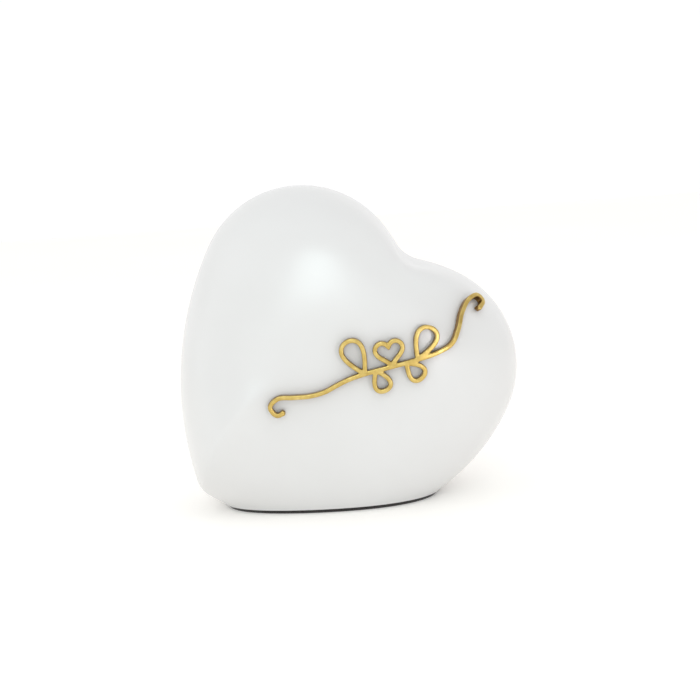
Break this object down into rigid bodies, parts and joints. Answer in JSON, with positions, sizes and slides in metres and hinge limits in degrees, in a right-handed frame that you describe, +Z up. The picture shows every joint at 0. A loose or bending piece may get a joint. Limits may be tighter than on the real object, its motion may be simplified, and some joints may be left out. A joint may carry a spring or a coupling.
{
  "type": "heart figurine",
  "caption": "Hollow resin heart ornament leaning on a flat felted base, with a wire flourish across its front and a threaded plug underneath.",
  "frame": {"origin": "middle of the underside of the object's box, on the surface it stands on", "axes": "+Z up, the front with the flourish faces -Y, +X to the right seen from the front, the way the heart leans"},
  "size_m": [0.1774, 0.1082, 0.1672],
  "materials": {
    "pearl_lacquer": "satin pearl lacquer on cast resin",
    "base_felt": "pressed felt",
    "ring_brass": "turned",
    "seal_rubber": "matte",
    "plug_plastic": "moulded",
    "gilded_metal": "satin gilding",
    "pin_brass": "drawn wire"
  },
  "bodies": {
    "root": {"heart_body": "pearl_lacquer", "base_felt": "base_felt", "plug_ring": "ring_brass", "wire_scroll": "gilded_metal", "scroll_pin_left": "pin_brass", "scroll_pin_middle": "pin_brass", "scroll_pin_right": "pin_brass"},
    "seal": {"plug_seal": "seal_rubber"},
    "plug": {"base_plug": "plug_plastic"}
  },
  "joints": [
    {"name": "plug_travel", "type": "slide", "parent": "root", "child": "seal", "axis": [0, 0, -1], "range_m": [0, 0.012]},
    {"name": "plug_turn", "type": "hinge", "parent": "seal", "child": "plug", "pos_m": [-0.01432, 0.00139, 0.005], "axis": [0, 0, -1], "range_deg": [0, 1440]}
  ],
  "couplings": [
    {"joint": "plug_travel", "follows": "plug_turn", "m_per_rad": 0.00047746}
  ]
}
